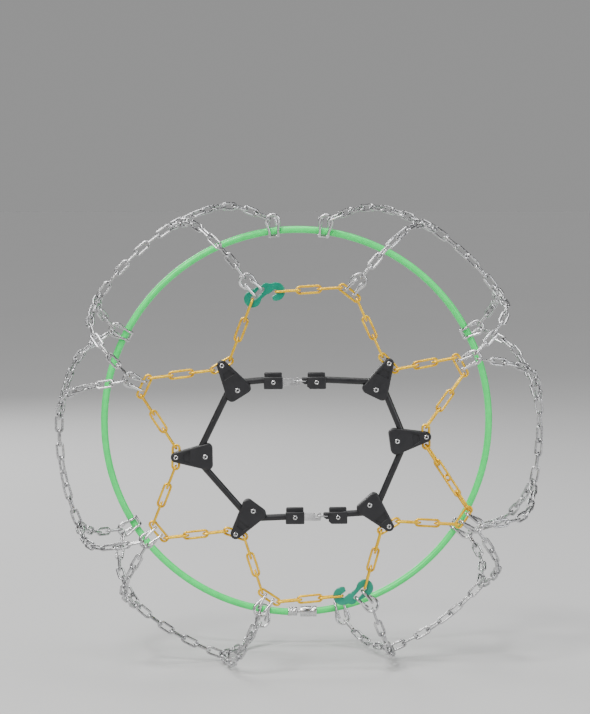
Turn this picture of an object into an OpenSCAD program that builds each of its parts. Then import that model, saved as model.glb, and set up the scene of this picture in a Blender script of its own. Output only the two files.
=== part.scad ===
// Snow chain for one passenger-car tyre, in the shape it takes when it is mounted.
// Origin: centre of the wheel, in the tyre's middle plane. X to the right and Z up as the
// outer side of the wheel is seen, Y along the axle towards the car. Millimetres.

/* [Tyre that the chain wraps] */
// Radius of the tyre at the middle of its tread
tyre_radius = 317; // [314:0.5:320]
// Height of the tread chain's centre line above the rubber
chain_lift = 6; // [5.5:0.5:7]
// Half width of the nearly flat part of the tread
tread_half = 59; // [58:0.5:60]

/* [Tread chain] */
// Wire thickness of a tread link
tread_wire = 3.2; // [3.1:0.05:3.2]
// Outer width of a tread link
tread_width = 11.8; // [11.8:0.1:12]
// Inner length of a tread link
tread_inner = 19.3; // [19.1:0.1:19.6]

/* [Side chain] */
// Wire thickness of a side chain link
side_wire = 3.1; // [2.9:0.1:3.2]
// Outer width of a side chain link
side_width = 11.8; // [11.6:0.1:12]
// Inner length of a side chain link
side_inner = 28.6; // [28.4:0.1:29]
// Distance of the side chain's plane from the tyre's middle plane
side_plane = 105; // [104:0.5:106]

/* [Double hooks] */
// Wire thickness of a double hook
hook_wire = 4; // [3.8:0.1:4.1]
// Radius of the bow's centre line
bow_radius = 9; // [8.8:0.1:9.2]
// Distance from the bar that a hook holds to the top of the bow's centre line
bow_reach = 24; // [23:0.5:25]

/* [Inner cable] */
// Radius of the cable hoop's centre line
hoop_radius = 267; // [266:0.5:268]
// Thickness of the coated cable
cable_d = 9.5; // [9:0.1:9.6]
// Distance of the hoop's plane from the tyre's middle plane
hoop_plane = 106; // [105.5:0.5:107]

/* [Tensioner] */
// Thickness of the elastic band
band_d = 8.5; // [8:0.1:8.8]
// Distance from a housing's large rivet to its tip rivet
housing_len = 38; // [37:0.5:39]
// Radius of a housing's round inner end
housing_r = 15.5; // [15:0.1:16]
// Radius of a housing's tip
tip_r = 6.6; // [6.4:0.1:6.8]
// Thickness of a housing across both shells
housing_t = 13; // [12.8:0.1:14]

/* [Hidden] */
$fn = 24;

SILVER = [0.72, 0.73, 0.74];
YELLOW = [0.88, 0.67, 0.2];
GREEN = [0.24, 0.87, 0.43];
TEAL = [0.13, 0.55, 0.44];
BLACK = [0.11, 0.11, 0.12];

// Half of the play left where two links meet
play = 0.2;
// Extra radius that keeps a bead's surface off the rods it joins
bead_over = 0.08;

// ---- Places, all as [x, z] in the plane of the side chain ----

// Corner links of the side chain: centre and direction, clockwise from the top right
CORNER_LINKS = [
    [59, 190, -38], [203, 96, -61], [209, -103, -124],
    [-45, -207, 146], [-189, -119, 129], [-206, 70, 65]
];
// Closing hooks: centre and direction from hole to mouth
CLOSING_HOOKS = [[-51.5, 187.5, 17], [65.5, -201, 199]];
// Tensioner corners a to f: tip rivet, housing direction, direction of the tip link
TIPS = [
    [-106, 97, 122, 31], [110, 99, 64, -46], [159, 3, 8, -88],
    [111, -114, -48, 211], [-89, -123, -127, 161], [-166, -22, 181, 88]
];
A = 0;
B = 1;
C = 2;
D = 3;
E = 4;
F = 5;
// Rivets of the end blocks: left block x, height, of the upper pair and the lower pair
BLOCKS = [[-39.7, 75], [-11.6, -101.5]];
block_gap = 56;

// Seats of the inner hooks round the cable, in degrees clockwise from the top
INNER_SEATS = [-7, 8, 62, 123, 167, -170, -121.5, -62.5];
// Cross chains: seat of the outer hook, place on the crown in degrees clockwise from the
// top, seat of the inner hook. Outer seats 0 to 5 are the corner links, 6 and 7 the
// closing hooks.
CROSS = [
    [6, -32, 0], [5, -56, 7], [5, -86, 7], [4, -113, 6], [4, -137, 6], [3, -161, 5],
    [0, 33.3, 1], [1, 54, 2], [1, 82.3, 2], [2, 103, 3], [2, 130.5, 3], [7, 157.9, 4]
];
// Pairs of cross chains whose apexes a centre chain joins
CENTRE_PAIRS = [[0, 1], [2, 3], [4, 5], [6, 7], [8, 9], [10, 11]];

// ---- Vectors ----

function unit(v) = v / norm(v);
function flat(angle) = [cos(angle), 0, sin(angle)];
function outward(angle) = [-sin(angle), 0, cos(angle)];
function at(x, z) = [x, -side_plane, z];
function clock(v) = atan2(v.x, v.z);

// ---- Surface that the tread chain lies on: three arcs across the tyre ----

CROWN_ARC = 350;
SHOULDER_ARC = 50;
WALL_ARC = 100;
crown_turn = asin(tread_half / CROWN_ARC);
wall_turn = 62;
crown_len = CROWN_ARC * crown_turn * PI / 180;
shoulder_len = SHOULDER_ARC * (wall_turn - crown_turn) * PI / 180;
function across(angle, r) = r * [sin(angle), cos(angle)];
crown_centre = [0, tyre_radius + chain_lift - CROWN_ARC];
shoulder_centre = crown_centre + across(crown_turn, CROWN_ARC - SHOULDER_ARC);
wall_centre = shoulder_centre + across(wall_turn, SHOULDER_ARC - WALL_ARC);

// Slope of the surface at a distance s across the tread from its middle
function slope(s) =
    s < crown_len ? s / CROWN_ARC * 180 / PI :
    s < crown_len + shoulder_len ? crown_turn + (s - crown_len) / SHOULDER_ARC * 180 / PI :
    wall_turn + (s - crown_len - shoulder_len) / WALL_ARC * 180 / PI;
function section(s) =
    s < crown_len ? crown_centre + across(slope(s), CROWN_ARC) :
    s < crown_len + shoulder_len ? shoulder_centre + across(slope(s), SHOULDER_ARC) :
    wall_centre + across(slope(s), WALL_ARC);
// Distance across the tread at which the side wall has radius r
function reach_of(r) =
    crown_len + shoulder_len + WALL_ARC * (acos((r - wall_centre.y) / WALL_ARC) - wall_turn) * PI / 180;

function on_tyre(angle, s, side) =
    let(p = section(s)) [p.y * sin(angle), side * p.x, p.y * cos(angle)];
function tyre_normal(angle, s, side) =
    let(t = slope(s)) [cos(t) * sin(angle), side * sin(t), cos(t) * cos(angle)];

// ---- Rods, beads and links ----

module rod(p, q, r) {
    d = q - p;
    translate(p)
        rotate([0, acos(d.z / norm(d)), atan2(d.y, d.x)])
            cylinder(h = norm(d), r = r);
}

module bead(p, r) {
    translate(p)
        sphere(r = r + bead_over);
}

// Part of a ring in the XZ plane, from angle a0 through a sweep
module ring_part(r, wire_r, a0, sweep) {
    rotate([90, 0, 0])
        rotate([0, 0, a0])
            rotate_extrude(angle = sweep)
                translate([r, 0])
                    circle(r = wire_r);
}

module link_shape(wire, width, inner) {
    r = (width - wire) / 2;
    straight = inner / 2 - (width / 2 - wire);
    for (side = [-1, 1]) {
        translate([-straight, side * r, 0])
            rotate([0, 90, 0])
                cylinder(h = 2 * straight, d = wire);
        translate([side * straight, 0, 0])
            rotate([0, 0, -90 * side])
                rotate_extrude(angle = 180)
                    translate([r, 0])
                        circle(d = wire);
    }
}

// A link between two meeting points. Its plane is turned by roll from the surface.
module link(p, q, normal, roll, wire, width, inner) {
    t = unit(q - p);
    n = unit(normal - (normal * t) * t);
    w = cos(roll) * cross(t, n) + sin(roll) * n;
    k = cross(t, w);
    c = (p + q) / 2;
    multmatrix([
        [t.x, w.x, k.x, c.x],
        [t.y, w.y, k.y, c.y],
        [t.z, w.z, k.z, c.z],
        [0, 0, 0, 1]
    ])
        link_shape(wire, width, inner);
}

module tread_link(p, q, normal, roll) {
    link(p, q, normal, roll, tread_wire, tread_width, tread_inner);
}

module side_link(p, q, roll) {
    link(p, q, [0, -1, 0], roll, side_wire, side_width, side_inner);
}

// ---- Side chain ----

side_bore = side_width / 2 - side_wire;
// Centre of the round end of a flat link
function link_end(x, z, angle, side) =
    at(x, z) + side * (side_inner / 2 - side_bore) * flat(angle);

plate_half = 15;
plate_hole_r = 2.7;
plate_t = 4;
// Middle of the bar that the double hook grips, the bar's turn and its width
waist_at = [-8, 9.8];
waist_turn = 29;
waist_w = 5;
function plate_end(k, side) =
    let(h = CLOSING_HOOKS[k]) at(h.x, h.y) + side * plate_half * flat(h.z);
function tip_end(k, side) = link_end(TIPS[k].x, TIPS[k].y, TIPS[k][3], side);
function corner_end(k, side) =
    link_end(CORNER_LINKS[k].x, CORNER_LINKS[k].y, CORNER_LINKS[k].z, side);

// A straight run of links from one round end to another
module run(a, ra, b, rb, count) {
    d = unit(b - a);
    p = a + d * (ra - play);
    q = b - d * (rb - play);
    for (i = [0:count - 1])
        side_link(p + (q - p) * i / count, p + (q - p) * (i + 1) / count, 360 / (count + 1) * (i + 1));
}

module arm(tip, tip_side, to, to_r, count = 3) {
    color(YELLOW)
        run(tip_end(tip, tip_side), side_bore, to, to_r, count);
}

module flat_link(x, z, angle) {
    u = flat(angle);
    side_link(at(x, z) - u, at(x, z) + u, 0);
}

module corner_links() {
    color(YELLOW)
        for (c = CORNER_LINKS)
            flat_link(c.x, c.y, c.z);
}

module tip_link(k) {
    color(YELLOW)
        flat_link(TIPS[k].x, TIPS[k].y, TIPS[k][3]);
}

module closing_chains() {
    color(YELLOW) {
        run(plate_end(0, 1), side_bore, corner_end(0, -1), side_bore, 3);
        run(plate_end(1, 1), side_bore, corner_end(3, -1), side_bore, 3);
    }
}

// Flat hook that closes the side chain. An eye on the left runs into a slot along the slanted
// bar that a double hook grips. On the right is an open hook.
plate_slot = [[-12.3, 1.1], [-0.1, 7.9]];
module plate_outline() {
    translate([-15.5, -0.5])
        circle(r = 11);
    translate([16, 0])
        circle(r = 12);
    polygon([
        [-4, -3.5], [2.6, -0.7], [6.2, 1.2], [11.5, 3.4], [14, 2.5], [20, 9], [12, 12.2],
        [7.5, 14.8], [4, 14.8], [1, 13.2], [-7.5, 12.4], [-15, 10.4], [-12, -4]
    ]);
}

module plate_openings() {
    slot_r = 2.9;
    translate([-plate_half, 0])
        circle(r = plate_hole_r);
    for (end = plate_slot)
        translate(end)
            circle(r = slot_r);
    translate(plate_slot[0])
        rotate([0, 0, waist_turn])
            translate([0, -slot_r + 0.1])
                square([norm(plate_slot[1] - plate_slot[0]), 2 * slot_r - 0.2]);
    translate([plate_half, 0]) {
        circle(r = side_bore);
        rotate([0, 0, 200])
            translate([0, -side_bore + 0.2])
                square([12.5, 2 * side_bore - 0.4]);
    }
    translate([3, -14])
        square([6.6, 14]);
}

module closing_hook(k) {
    h = CLOSING_HOOKS[k];
    color(TEAL)
        translate(at(h.x, h.y) + [0, plate_t / 2, 0])
            rotate([0, -h.z, 0])
                rotate([90, 0, 0])
                    linear_extrude(height = plate_t)
                        difference() {
                            plate_outline();
                            plate_openings();
                        }
}

// ---- Double hooks ----

// Seat of a double hook: [bar centre, along the bar, towards the bow, towards the tyre, curl radius]
link_curl = side_wire / 2 + 0.5 + hook_wire / 2;
waist_curl = norm([plate_t, waist_w]) / 2 + 0.3 + hook_wire / 2;
cable_curl = cable_d / 2 + 0.4 + hook_wire / 2;
function raw_seat(k) =
    k < 6 ?
        let(c = CORNER_LINKS[k]) [
            at(c.x, c.y) + outward(c.z) * (side_width - side_wire) / 2,
            flat(c.z), outward(c.z), [0, 1, 0], link_curl
        ] :
        let(h = CLOSING_HOOKS[k - 6], turn = h.z + waist_turn) [
            at(h.x, h.y) + waist_at.x * flat(h.z) + waist_at.y * outward(h.z),
            flat(turn), outward(turn), [0, 1, 0], waist_curl
        ];
// The hook leans about its bar until its bow lies on the side wall
function leaning(seat) =
    let(
        top = seat[0] + seat[2] * bow_reach,
        wall = section(reach_of(norm([top.x, top.z]))).x,
        tilt = asin((abs(seat[0].y) - seat[4] - wall) / bow_reach)
    )
    [
        seat[0], seat[1],
        cos(tilt) * seat[2] + sin(tilt) * seat[3],
        cos(tilt) * seat[3] - sin(tilt) * seat[2],
        seat[4]
    ];
function outer_seat(k) = leaning(raw_seat(k));
function inner_seat(k) =
    let(a = INNER_SEATS[k], radial = [sin(a), 0, cos(a)])
    leaning([
        hoop_radius * radial + [0, hoop_plane, 0],
        [cos(a), 0, -sin(a)], radial, [0, -1, 0], cable_curl
    ]);
function seat_point(seat, p) = seat[0] + p.x * seat[1] + p.y * seat[3] + p.z * seat[2];

// Point of the bow's centre line, psi degrees from its top, and where a chain meets it
meet_gap = hook_wire / 2 + play;
function bow_point(seat, psi) =
    seat_point(seat, [bow_radius * sin(psi), seat[4], bow_reach - bow_radius + bow_radius * cos(psi)]);
function bow_meet(seat, psi) = bow_point(seat, psi) - seat[2] * meet_gap;

leg_half = 6;
tip_len = 11;
// Short straight wire between each bend and the ball at the next one
stub = 1;
module double_hook(seat) {
    o = seat[0];
    u = seat[1];
    v = seat[2];
    w = seat[3];
    curl = seat[4];
    r = hook_wire / 2;
    bow_z = bow_reach - bow_radius;
    multmatrix([
        [u.x, w.x, v.x, o.x],
        [u.y, w.y, v.y, o.y],
        [u.z, w.z, v.z, o.z],
        [0, 0, 0, 1]
    ]) {
        translate([0, curl, bow_z])
            ring_part(bow_radius, r, 0, 180);
        for (side = [-1, 1]) {
            shoulder = [side * bow_radius, curl, bow_z - stub];
            ankle = [side * leg_half, curl, stub];
            toe = [side * leg_half, -curl, stub];
            tip = [side * (leg_half + 1), -curl - 0.5, tip_len];
            rod(shoulder, shoulder + [0, 0, stub], r);
            bead(shoulder, r);
            rod(shoulder, ankle, r);
            bead(ankle, r);
            rod(ankle - [0, 0, stub], ankle, r);
            translate([side * leg_half, 0, 0])
                rotate([0, 0, 90])
                    ring_part(curl, r, 180, 180);
            rod(toe - [0, 0, stub], toe, r);
            bead(toe, r);
            rod(toe, tip, r);
            bead(tip, r);
        }
        rod([-leg_half, 0, -curl], [leg_half, 0, -curl], r - 0.3);
    }
}

module outer_cross_hooks() {
    color(SILVER)
        for (k = [0:7])
            double_hook(outer_seat(k));
}

module inner_cross_hooks() {
    color(SILVER)
        for (k = [0:7])
            double_hook(inner_seat(k));
}

// ---- Tread net ----

tread_pitch = tread_inner - 2 * play - 0.15;
tread_bore = tread_width / 2 - tread_wire;
half_apex = tread_pitch / 2;
crown_radius = tyre_radius + chain_lift;
// Least angle along a bow between its middle and a chain, where two chains share it
MIN_SPREAD = 34;

function degrees(x) = x * 180 / PI;
function radians(x) = x * PI / 180;
function unwrap(angle, near) = angle + 360 * round((near - angle) / 360);
function radius_of(p) = norm([p.x, p.z]);
function seat_at(k, end) = end == 0 ? outer_seat(CROSS[k].x) : inner_seat(CROSS[k].z);
function seat_no(k, end) = end == 0 ? CROSS[k].x : CROSS[k].z;

// Angle of the hook itself to the radius through its bow
function skew(seat) =
    let(top = clock(bow_meet(seat, 0)))
    unwrap(clock(seat[2]), top) - top;
// Angle at which a chain from this apex pulls on the seat's bow
function pull(apex, seat) =
    let(top = bow_meet(seat, 0), r = radius_of(top))
    atan(r * radians(apex - unwrap(clock(top), apex)) / (reach_of(r) - half_apex));
function bow_angle(k, end) =
    let(
        own = pull(CROSS[k].y, seat_at(k, end)),
        mates = [for (m = [0:11]) if (m != k && seat_no(m, end) == seat_no(k, end)) m],
        other = len(mates) == 0 ? own : pull(CROSS[mates[0]].y, seat_at(k, end)),
        half = (own - other) / 2
    )
    len(mates) == 0 ? own - skew(seat_at(k, end)) : (own + other) / 2 + sign(half) * max(abs(half), MIN_SPREAD);

// Strand of cross chain k from its apex link to the outer hook (end 0) or the inner one
module strand(k, end) {
    side = end == 0 ? -1 : 1;
    apex = CROSS[k].y;
    seat = seat_at(k, end);
    psi = bow_angle(k, end);
    bow = bow_point(seat, psi);
    meet = bow_meet(seat, psi);
    angle = unwrap(clock(meet), apex);
    reach = reach_of(radius_of(meet));
    tilt = atan(crown_radius * radians(angle - apex) / (reach - half_apex));
    s_first = tread_inner / 2 - tread_bore + (tread_bore - play) * cos(tilt);
    a_first = apex + degrees((tread_bore - play) * sin(tilt) / crown_radius);
    n = ceil(norm([reach - s_first, crown_radius * radians(angle - a_first)]) / tread_pitch);
    for (i = [0:n - 1]) {
        s0 = s_first + (reach - s_first) * i / n;
        s1 = s_first + (reach - s_first) * (i + 1) / n;
        a0 = a_first + (angle - a_first) * i / n;
        a1 = a_first + (angle - a_first) * (i + 1) / n;
        p = on_tyre(a0, s0, side);
        q = i == n - 1 ? bow + meet_gap * unit(bow - p) : on_tyre(a1, s1, side);
        twist = n % 2 == 0 ? 90 * (i + 1) / n : 45 * sin(180 * (i + 1) / n);
        tread_link(p, q, tyre_normal((a0 + a1) / 2, (s0 + s1) / 2, side), 90 * (i + 1) + twist);
    }
}

module cross_chain(k) {
    apex = CROSS[k].y;
    tread_link(
        on_tyre(apex, half_apex, -1), on_tyre(apex, half_apex, 1),
        tyre_normal(apex, 0, 1), 0
    );
    strand(k, 0);
    strand(k, 1);
}

// Links along the crown from the apex link of one cross chain to that of another
module centre_chain(pair) {
    from = CROSS[pair.x].y;
    to = CROSS[pair.y].y;
    turn = sign(to - from);
    grip = degrees((tread_bore - play) / crown_radius);
    first = from + turn * grip;
    last = to - turn * grip;
    n = ceil(radians(abs(last - first)) * crown_radius / tread_pitch);
    for (i = [0:n - 1]) {
        a0 = first + (last - first) * i / n;
        a1 = first + (last - first) * (i + 1) / n;
        twist = n % 2 == 1 ? 0 : 90 * i / (n - 1);
        tread_link(
            on_tyre(a0, 0, 1), on_tyre(a1, 0, 1), tyre_normal((a0 + a1) / 2, 0, 1),
            90 * (i + 1) + twist
        );
    }
}

module net(list) {
    color(SILVER)
        for (k = list)
            cross_chain(k);
}

module diamond_left_upper() { net([1, 2]); }
module diamond_left_lower() { net([3, 4]); }
module diamond_right_upper() { net([7, 8]); }
module diamond_right_lower() { net([9, 10]); }
module end_chains_left() { net([0, 5]); }
module end_chains_right() { net([6, 11]); }
module tread_centre_chains() {
    color(SILVER)
        for (pair = CENTRE_PAIRS)
            centre_chain(pair);
}

// ---- Inner cable and its coupling ----

cable_r = cable_d / 2;
flex_x = -24;
socket_x0 = 4;
socket_x1 = 27;
coupling_z = -266.3;
function hoop_angle(x) = -90 + asin(x / hoop_radius);

module hoop_part(x0, x1, long_way) {
    a0 = hoop_angle(x0);
    sweep = hoop_angle(x1) - a0 + (long_way ? 360 : 0);
    translate([0, hoop_plane, 0])
        ring_part(hoop_radius, cable_r, a0, sweep);
}

module inner_cable() {
    color(GREEN)
        hoop_part(socket_x1 - 7, flex_x, true);
}

module cable_free_end() {
    color(GREEN)
        hoop_part(flex_x + 0.3, -9, false);
}

module cable_end_ball() {
    color(SILVER)
        translate([0, hoop_plane, coupling_z]) {
            difference() {
                rod([-13, 0, 0], [0, 0, 0], 6.2);
                rod([-14, 0, 0], [-8.8, 0, 0], 5.5);
            }
            rod([-1, 0, 0], [10, 0, 0], 2);
            translate([10, 0, 0])
                sphere(r = 4.2);
        }
}

module cable_socket() {
    color(SILVER)
        translate([0, hoop_plane, coupling_z])
            difference() {
                rod([socket_x0, 0, 0], [socket_x1, 0, 0], 7.5);
                rod([socket_x1 - 7.5, 0, 0], [socket_x1 + 1, 0, 0], 5.6);
                rod([10, 0, 0], [10, 9, 0], 5.2);
                translate([10, 0, 0])
                    sphere(r = 5.3);
                translate([socket_x0 - 1, -2.7, -2.7])
                    cube([7, 12, 5.4]);
            }
}

// ---- Tensioner ----

rivet_r = 2.4;
function tip_rivet(k) = at(TIPS[k].x, TIPS[k].y);
function big_rivet(k) = tip_rivet(k) - housing_len * flat(TIPS[k].z);

// The bands run like belts outside the large rivets
belt_r = 10;
rod_rise = [3.2, 0.6, 3.6];
LEFT_BELT = [
    [BLOCKS[0].x - 6.5, BLOCKS[0].y + rod_rise[0]], A, F, E,
    [BLOCKS[1].x - 6.5, BLOCKS[1].y + rod_rise[1]]
];
RIGHT_BELT = [
    [BLOCKS[1].x + block_gap + 6.5, BLOCKS[1].y + rod_rise[2]], D, C, B,
    [BLOCKS[0].x + block_gap + 6.5, BLOCKS[0].y + rod_rise[0]]
];
function belt_centre(stop) = is_num(stop) ? big_rivet(stop) : at(stop.x, stop.y);
function belt_radius(stop) = is_num(stop) ? belt_r : 0;
function belt_normal(belt, i) =
    let(
        p = belt_centre(belt[i]),
        q = belt_centre(belt[i + 1]),
        d = unit(q - p),
        k = (belt_radius(belt[i]) - belt_radius(belt[i + 1])) / norm(q - p)
    )
    d * k + [d.z, 0, -d.x] * sqrt(1 - k * k);
function turn_of(v) = atan2(v.z, v.x);

module belt(stops, r) {
    for (i = [0:3]) {
        n = belt_normal(stops, i);
        p = belt_centre(stops[i]) + n * belt_radius(stops[i]);
        q = belt_centre(stops[i + 1]) + n * belt_radius(stops[i + 1]);
        t = unit(q - p);
        rod(p, q, r);
        if (i > 0)
            rod(p - t, p + t, r + 0.2);
        if (i < 3)
            rod(q - t, q + t, r + 0.2);
    }
    for (i = [1:3]) {
        a0 = turn_of(belt_normal(stops, i - 1));
        a1 = turn_of(belt_normal(stops, i));
        translate(belt_centre(stops[i]))
            ring_part(belt_r, r, a0, (a1 - a0 + 360) % 360);
    }
}

module tension_band(stops) {
    color(BLACK)
        belt(stops, band_d / 2);
}

// Hollow in the housings for the band: a round channel about the large rivet and two
// straight ones that leave it
BELT_OF = [LEFT_BELT, RIGHT_BELT, RIGHT_BELT, RIGHT_BELT, LEFT_BELT, LEFT_BELT];
STOP_OF = [1, 3, 2, 1, 3, 2];
hollow_half = band_d / 2 + 0.4;
module exit_channel(from, turn) {
    translate(from)
        rotate([0, -turn, 0])
            translate([0, -hollow_half, -hollow_half])
                cube([45, 2 * hollow_half, 2 * hollow_half]);
}

module band_hollow(k) {
    c = big_rivet(k);
    n0 = belt_normal(BELT_OF[k], STOP_OF[k] - 1);
    n1 = belt_normal(BELT_OF[k], STOP_OF[k]);
    difference() {
        rod(c - [0, hollow_half, 0], c + [0, hollow_half, 0], belt_r + band_d / 2 + 0.3);
        rod(c - [0, 10, 0], c + [0, 10, 0], belt_r - band_d / 2 - 0.3);
    }
    exit_channel(c + n0 * belt_r, turn_of(n0) - 90);
    exit_channel(c + n1 * belt_r, turn_of(n1) + 90);
}

module at_housing(k) {
    translate(big_rivet(k))
        rotate([0, -TIPS[k].z, 0])
            children();
}

// Two circles and the straight sides between them, which cut in a hair below the tangents
module housing_outline() {
    lean = asin((housing_r - tip_r) / housing_len);
    big = housing_r - 0.04;
    small = tip_r - 0.04;
    circle(r = housing_r, $fn = 64);
    translate([housing_len, 0])
        circle(r = tip_r, $fn = 48);
    polygon([
        [big * sin(lean), big * cos(lean)],
        [big * sin(lean), -big * cos(lean)],
        [housing_len + small * sin(lean), -small * cos(lean)],
        [housing_len + small * sin(lean), small * cos(lean)]
    ]);
}

slot_w = side_width + 1;
slot_t = side_wire + 0.8;
module housing_cuts(k) {
    at_housing(k) {
        rod([0, -20, 0], [0, 20, 0], rivet_r + 0.05);
        rod([housing_len, -20, 0], [housing_len, 20, 0], rivet_r + 0.05);
        translate([housing_len, 0, 0])
            rotate([0, TIPS[k].z - TIPS[k][3], 0])
                translate([-30, -slot_t / 2, -slot_w / 2])
                    cube([60, slot_t, slot_w + 20]);
    }
    band_hollow(k);
}

pocket_x0 = 19.5;
pocket_x1 = 29;
pocket_depth = 1.2;
module housing_front(k) {
    color(BLACK)
        difference() {
            at_housing(k)
                difference() {
                    rotate([90, 0, 0])
                        linear_extrude(height = housing_t / 2)
                            housing_outline();
                    translate([0, -housing_t / 2 + pocket_depth, 0])
                        rotate([90, 0, 0])
                            linear_extrude(height = housing_t)
                                polygon([
                                    [pocket_x0, -8.6], [pocket_x1, -6.2],
                                    [pocket_x1, 6.2], [pocket_x0, 8.6]
                                ]);
                }
            housing_cuts(k);
        }
}

module housing_back(k) {
    color(BLACK)
        difference() {
            at_housing(k)
                translate([0, housing_t / 2, 0])
                    rotate([90, 0, 0])
                        linear_extrude(height = housing_t / 2)
                            housing_outline();
            housing_cuts(k);
        }
}

// Hollow rivet along Y with a flange at each end
module tube_rivet(depth, flange_r) {
    difference() {
        union() {
            rod([0, -depth / 2, 0], [0, depth / 2, 0], rivet_r);
            rod([0, -depth / 2 - 0.8, 0], [0, -depth / 2, 0], flange_r);
            rod([0, depth / 2, 0], [0, depth / 2 + 0.8, 0], flange_r);
        }
        rod([0, -depth, 0], [0, depth, 0], 1.5);
    }
}

module rivets(k) {
    color(SILVER)
        at_housing(k) {
            tube_rivet(housing_t, 3.3);
            translate([housing_len, 0, 0])
                tube_rivet(housing_t, 3.1);
        }
}

// ---- End blocks, hooks and eyes between the bands ----

block_t = 13;
tongue_t = 3;
// Where a band ends in its block, and the way it leaves it
function band_end(stops, last) =
    let(
        i = last ? 3 : 0,
        n = belt_normal(stops, i),
        p = belt_centre(stops[i]) + n * belt_radius(stops[i]),
        q = belt_centre(stops[i + 1]) + n * belt_radius(stops[i + 1])
    )
    last ? [q, unit(p - q)] : [p, unit(q - p)];

module end_block(x, z, left, band) {
    difference() {
        translate(at(x, z))
            block_body(left);
        rod(band[0] - 0.1 * band[1], band[0] + 9 * band[1], band_d / 2 + 0.1);
    }
}

module block_body(left) {
        difference() {
            union() {
                translate([-12.2, -block_t / 2, -8.7])
                    cube([24.4, block_t / 2, 15.8]);
                translate([-11.4, 0, -7])
                    cube([22.8, block_t / 2, 19.4]);
                if (!left)
                    translate([-19, -4.6, -2.6])
                        cube([10, 9.2, 8.4]);
            }
            rod([0, -20, 0], [0, 20, 0], rivet_r + 0.05);
            if (left)
                translate([-6, -tongue_t / 2 - 0.4, -10])
                    cube([30, tongue_t + 0.8, 16]);
            else
                translate([0, 0, eye_z])
                    for (y = [-eye_half, eye_half])
                        rod([-30, y, 0], [-12, y, 0], eye_wire / 2 + 0.05);
        }
}

module end_blocks() {
    color(BLACK)
        for (k = [0, 1]) {
            end_block(BLOCKS[k].x, BLOCKS[k].y, true, band_end(LEFT_BELT, k == 1));
            end_block(BLOCKS[k].x + block_gap, BLOCKS[k].y, false, band_end(RIGHT_BELT, k == 0));
        }
}

module end_block_rivets() {
    color(SILVER)
        for (k = [0, 1], side = [0, 1])
            translate(at(BLOCKS[k].x + side * block_gap, BLOCKS[k].y))
                tube_rivet(block_t, 3);
}

eye_wire = 2.6;
eye_half = 3.6;
eye_z = 1.6;
eye_x = -23.7;
module band_eyes() {
    color(SILVER)
        for (k = [0, 1])
            translate(at(BLOCKS[k].x + block_gap, BLOCKS[k].y) + [0, 0, eye_z]) {
                translate([eye_x, 0, 0])
                    rotate([0, 0, 90])
                        rotate_extrude(angle = 180)
                            translate([eye_half, 0])
                                circle(d = eye_wire);
                for (y = [-eye_half, eye_half])
                    rod([eye_x, y, 0], [-12.2, y, 0], eye_wire / 2);
            }
}

// Hook plate that swings on its block's rivet, with a tip that is an arc about that rivet
module band_hook(k) {
    tip_in = 31;
    tip_out = 34.2;
    color(SILVER)
        translate(at(BLOCKS[k].x, BLOCKS[k].y) + [0, tongue_t / 2, 0])
            rotate([90, 0, 0])
                linear_extrude(height = tongue_t)
                    difference() {
                        union() {
                            circle(r = 5.4);
                            translate([0, -5])
                                square([32.6, 3.4]);
                            intersection() {
                                difference() {
                                    circle(r = tip_out, $fn = 120);
                                    circle(r = tip_in, $fn = 120);
                                }
                                translate([20, -5])
                                    square([20, 11]);
                            }
                        }
                        circle(r = rivet_r + 0.15);
                    }
}

module band_hook_top() { band_hook(0); }
module band_hook_bottom() { band_hook(1); }
module closing_hook_top() { closing_hook(0); }
module closing_hook_bottom() { closing_hook(1); }

diamond_left_upper();
diamond_left_lower();
diamond_right_upper();
diamond_right_lower();
end_chains_left();
end_chains_right();
tread_centre_chains();
outer_cross_hooks();
inner_cross_hooks();
inner_cable();
cable_free_end();
cable_end_ball();
cable_socket();
corner_links();
closing_hook_top();
closing_hook_bottom();
closing_chains();
arm(A, 1, plate_end(0, -1), plate_hole_r);  // arm_a_hook
arm(A, -1, corner_end(5, 1), side_bore);  // arm_a_left
arm(F, 1, corner_end(5, -1), side_bore);  // arm_f_upper
arm(F, -1, corner_end(4, 1), side_bore);  // arm_f_lower
arm(E, 1, corner_end(4, -1), side_bore);  // arm_e_left
arm(E, -1, corner_end(3, 1), side_bore);  // arm_e_bottom
arm(D, 1, plate_end(1, -1), plate_hole_r);  // arm_d_hook
arm(D, -1, corner_end(2, 1), side_bore);  // arm_d_right
arm(C, 1, corner_end(2, -1), side_bore, 4);  // arm_c_lower
arm(C, -1, corner_end(1, 1), side_bore);  // arm_c_upper
arm(B, 1, corner_end(1, -1), side_bore);  // arm_b_right
arm(B, -1, corner_end(0, 1), side_bore);  // arm_b_top
housing_front(A);  // housing_a_front
housing_front(B);  // housing_b_front
housing_front(C);  // housing_c_front
housing_front(D);  // housing_d_front
housing_front(E);  // housing_e_front
housing_front(F);  // housing_f_front
housing_back(A);  // housing_a_back
housing_back(B);  // housing_b_back
housing_back(C);  // housing_c_back
housing_back(D);  // housing_d_back
housing_back(E);  // housing_e_back
housing_back(F);  // housing_f_back
rivets(A);  // rivets_a
rivets(B);  // rivets_b
rivets(C);  // rivets_c
rivets(D);  // rivets_d
rivets(E);  // rivets_e
rivets(F);  // rivets_f
tip_link(A);  // tip_link_a
tip_link(B);  // tip_link_b
tip_link(C);  // tip_link_c
tip_link(D);  // tip_link_d
tip_link(E);  // tip_link_e
tip_link(F);  // tip_link_f
tension_band(LEFT_BELT);  // tension_band_left
tension_band(RIGHT_BELT);  // tension_band_right
end_blocks();
end_block_rivets();
band_hook_top();
band_hook_bottom();
band_eyes();
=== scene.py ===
"""Snow chain in its mounted shape: the visible pieces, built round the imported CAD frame.

Lengths are in millimetres until a mesh is made, angles in degrees. The places of all pieces
follow the same rules as the CAD model.
"""
import math

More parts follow.
